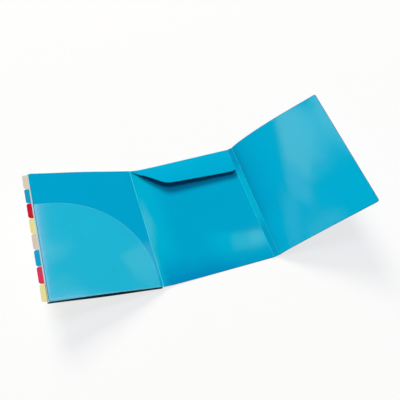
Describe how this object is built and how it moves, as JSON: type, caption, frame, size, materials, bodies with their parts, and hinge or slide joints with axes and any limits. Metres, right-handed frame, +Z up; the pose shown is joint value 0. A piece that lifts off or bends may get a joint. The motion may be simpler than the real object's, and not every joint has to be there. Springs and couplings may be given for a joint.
{
  "type": "document sorter folder",
  "caption": "Open sorter folder of creased plastic sheet with a top flap, a folding front cover and a book of tabbed divider leaves with a round-cornered pocket.",
  "frame": {"origin": "centre of the back panel's flat underside, midway between the left and spine creases", "axes": "+X to the front cover, +Y to the top flap, +Z up out of the back panel's inner face"},
  "size_m": [0.7111, 0.32, 0.1336],
  "materials": {
    "blue_sheet": "glossy sky-blue polypropylene sheet with a fine grain",
    "crease_web": "the same sheet, thinned and stretched paler where it is creased",
    "clear_film": "clear glossy polypropylene film",
    "divider_leaf": "pale translucent polypropylene",
    "tab_clear": "clear tab, milky at its edge",
    "tab_blue": "blue tab",
    "tab_red": "red tab",
    "tab_yellow": "pale yellow tab"
  },
  "bodies": {
    "back": {"back_panel": "blue_sheet", "left_crease": "crease_web", "spine_crease": "crease_web", "flap_crease": "crease_web"},
    "spine": {"spine_strip": "blue_sheet", "cover_crease": "crease_web"},
    "cover": {"front_cover": "blue_sheet"},
    "flap": {"top_flap": "blue_sheet"},
    "book": {"leaf_binding": "divider_leaf", "divider_1": "divider_leaf", "tab_1": "tab_clear"},
    "sorter": {"sorter_panel": "blue_sheet", "corner_pocket": "clear_film", "pocket_weld_side": "clear_film", "pocket_weld_foot": "clear_film"},
    "leaf_2": {"divider_2": "divider_leaf", "tab_2": "tab_blue"},
    "leaf_3": {"divider_3": "divider_leaf", "tab_3": "tab_red"},
    "leaf_4": {"divider_4": "divider_leaf", "tab_4": "tab_yellow"},
    "leaf_5": {"divider_5": "divider_leaf", "tab_5": "tab_clear"},
    "leaf_6": {"divider_6": "divider_leaf", "tab_6": "tab_blue"},
    "leaf_7": {"divider_7": "divider_leaf", "tab_7": "tab_red"},
    "leaf_8": {"divider_8": "divider_leaf", "tab_8": "tab_yellow"}
  },
  "joints": [
    {"name": "spine_fold", "type": "hinge", "parent": "back", "child": "spine", "pos_m": [0.127, 0, 0.0006], "axis": [0, -1, 0], "range_deg": [-20, 70]},
    {"name": "cover_fold", "type": "hinge", "parent": "spine", "child": "cover", "pos_m": [0.13922, 0, 0.00505], "axis": [0, -1, 0], "range_deg": [-12, 78]},
    {"name": "flap_fold", "type": "hinge", "parent": "back", "child": "flap", "pos_m": [0, 0.1594, 0.0014], "axis": [1, 0, 0], "range_deg": [-158, 0]},
    {"name": "sorter_fold", "type": "hinge", "parent": "back", "child": "book", "pos_m": [-0.127, 0, 0.007], "axis": [0, 1, 0], "range_deg": [-18.5, 161.5]},
    {"name": "sorter_open", "type": "hinge", "parent": "book", "child": "sorter", "pos_m": [-0.127, 0, 0.007], "axis": [0, -1, 0], "range_deg": [-145, 0]},
    {"name": "leaf_2_turn", "type": "hinge", "parent": "book", "child": "leaf_2", "pos_m": [-0.127, 0, 0.007], "axis": [0, -1, 0], "range_deg": [-18.12, 0]},
    {"name": "leaf_3_turn", "type": "hinge", "parent": "book", "child": "leaf_3", "pos_m": [-0.127, 0, 0.007], "axis": [0, -1, 0], "range_deg": [-36.25, 0]},
    {"name": "leaf_4_turn", "type": "hinge", "parent": "book", "child": "leaf_4", "pos_m": [-0.127, 0, 0.007], "axis": [0, -1, 0], "range_deg": [-54.38, 0]},
    {"name": "leaf_5_turn", "type": "hinge", "parent": "book", "child": "leaf_5", "pos_m": [-0.127, 0, 0.007], "axis": [0, -1, 0], "range_deg": [-72.5, 0]},
    {"name": "leaf_6_turn", "type": "hinge", "parent": "book", "child": "leaf_6", "pos_m": [-0.127, 0, 0.007], "axis": [0, -1, 0], "range_deg": [-90.62, 0]},
    {"name": "leaf_7_turn", "type": "hinge", "parent": "book", "child": "leaf_7", "pos_m": [-0.127, 0, 0.007], "axis": [0, -1, 0], "range_deg": [-108.75, 0]},
    {"name": "leaf_8_turn", "type": "hinge", "parent": "book", "child": "leaf_8", "pos_m": [-0.127, 0, 0.007], "axis": [0, -1, 0], "range_deg": [-126.88, 0]}
  ],
  "couplings": [
    {"joint": "leaf_2_turn", "follows": "sorter_open", "ratio": 0.125},
    {"joint": "leaf_3_turn", "follows": "sorter_open", "ratio": 0.25},
    {"joint": "leaf_4_turn", "follows": "sorter_open", "ratio": 0.375},
    {"joint": "leaf_5_turn", "follows": "sorter_open", "ratio": 0.5},
    {"joint": "leaf_6_turn", "follows": "sorter_open", "ratio": 0.625},
    {"joint": "leaf_7_turn", "follows": "sorter_open", "ratio": 0.75},
    {"joint": "leaf_8_turn", "follows": "sorter_open", "ratio": 0.875}
  ]
}
